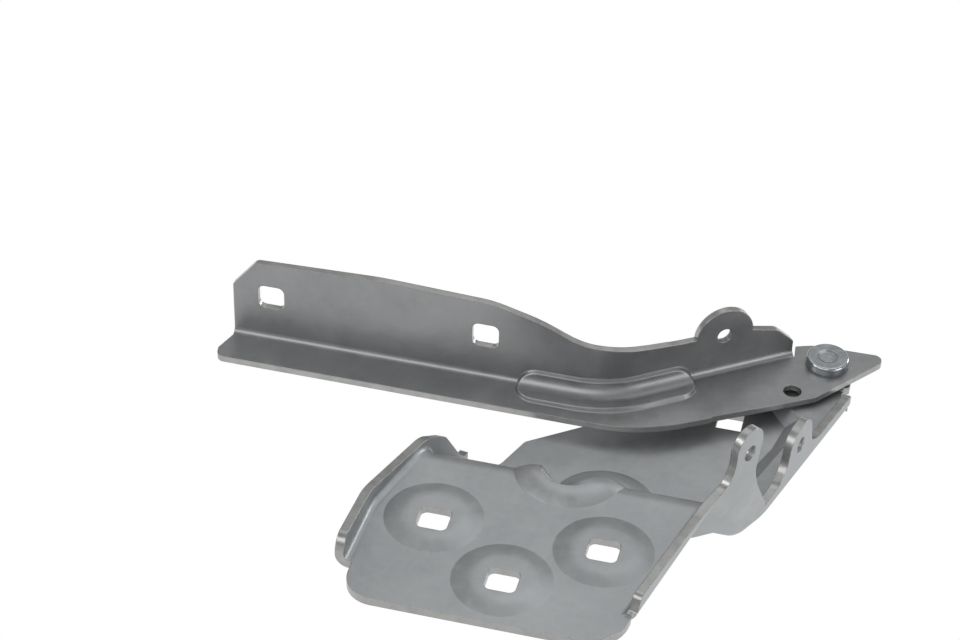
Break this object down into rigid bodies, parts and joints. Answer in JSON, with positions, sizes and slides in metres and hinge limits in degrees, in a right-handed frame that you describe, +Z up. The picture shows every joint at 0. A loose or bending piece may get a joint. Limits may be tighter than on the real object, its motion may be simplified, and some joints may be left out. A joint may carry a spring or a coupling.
{
  "type": "bonnet hinge",
  "caption": "Bent angle-section bonnet arm pivoted on a cranked body bracket with pressed bosses, an oval opening and threaded ears; galvanised sheet steel.",
  "frame": {"origin": "on the seating face under the bracket's mounting plate, midway between the two wide-spaced body bolt holes", "axes": "+Z up out of the plate along the pivot axis, +X towards the flange with the two ears, +Y from the plate towards the pivot"},
  "size_m": [0.2374, 0.1984, 0.0582],
  "materials": {
    "bracket_steel": "galvanised, dull",
    "arm_steel": "galvanised, dull",
    "rivet_zinc": "zinc plated, bright",
    "bush_metal": "coated sheet",
    "washer_steel": "zinc plated"
  },
  "bodies": {
    "bracket": {"body_bracket": "bracket_steel", "pivot_rivet": "rivet_zinc", "spacer_washer": "washer_steel"},
    "arm": {"bonnet_arm": "arm_steel", "pivot_bush": "bush_metal"}
  },
  "joints": [
    {"name": "arm_pivot", "type": "hinge", "parent": "bracket", "child": "arm", "pos_m": [0.0827, 0.149, -0.0245], "axis": [0, 0, 1], "range_deg": [-60, 6]}
  ]
}
